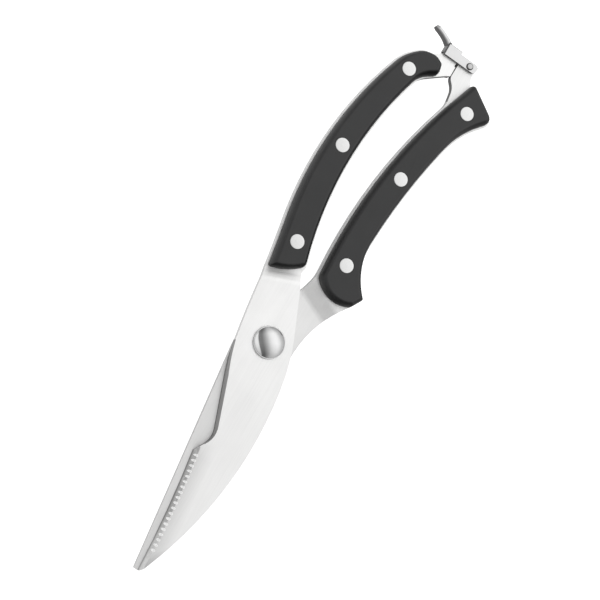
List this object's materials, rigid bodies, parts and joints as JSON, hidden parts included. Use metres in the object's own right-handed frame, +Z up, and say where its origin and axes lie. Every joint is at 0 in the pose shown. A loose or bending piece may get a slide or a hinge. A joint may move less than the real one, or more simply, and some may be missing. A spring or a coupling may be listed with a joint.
{
  "type": "kitchen shears",
  "caption": "Spring-opening kitchen shears with a bone notch and serrations in the curved upper blade, riveted dark scales on steel handles, a domed pivot and a folded latch at the handle ends.",
  "frame": {"origin": "on the pivot axis, in the plane that the closed shears rest on: the middle of the bolt's end face", "axes": "+X along the shears to the blade tips, +Y to the side of the guard handle, +Z up through the thickness to the pictured front"},
  "size_m": [0.262, 0.0594, 0.0126],
  "materials": {
    "blade_steel": "fine satin, ground bevels",
    "black_scale": "satin moulded, nearly black",
    "rivet_steel": "turned satin heads",
    "pivot_chrome": "polished",
    "spring_steel": "drawn wire, dull",
    "latch_chrome": "polished folded sheet"
  },
  "bodies": {
    "guard_half": {"plain_blade": "blade_steel", "guard_scale_front": "black_scale", "guard_scale_back": "black_scale", "guard_rivet_1_front": "rivet_steel", "guard_rivet_1_back": "rivet_steel", "guard_rivet_2_front": "rivet_steel", "guard_rivet_2_back": "rivet_steel", "guard_rivet_3_front": "rivet_steel", "guard_rivet_3_back": "rivet_steel", "pivot_bolt": "pivot_chrome", "pivot_washer": "spring_steel", "pivot_nut": "pivot_chrome", "opening_spring": "spring_steel", "latch_rivet": "rivet_steel"},
    "bow_half": {"serrated_blade": "blade_steel", "bow_scale_front": "black_scale", "bow_scale_back": "black_scale", "bow_rivet_1_front": "rivet_steel", "bow_rivet_1_back": "rivet_steel", "bow_rivet_2_front": "rivet_steel", "bow_rivet_2_back": "rivet_steel", "bow_rivet_3_front": "rivet_steel", "bow_rivet_3_back": "rivet_steel"},
    "latch": {"latch": "latch_chrome"}
  },
  "joints": [
    {"name": "pivot", "type": "hinge", "parent": "guard_half", "child": "bow_half", "pos_m": [0, 0, 0], "axis": [0, 0, 1], "range_deg": [0, 30], "deforming": ["opening_spring"]},
    {"name": "latch_hinge", "type": "hinge", "parent": "guard_half", "child": "latch", "pos_m": [-0.1501, 0.0154, 0], "axis": [0, 0, -1], "range_deg": [0, 150]}
  ]
}
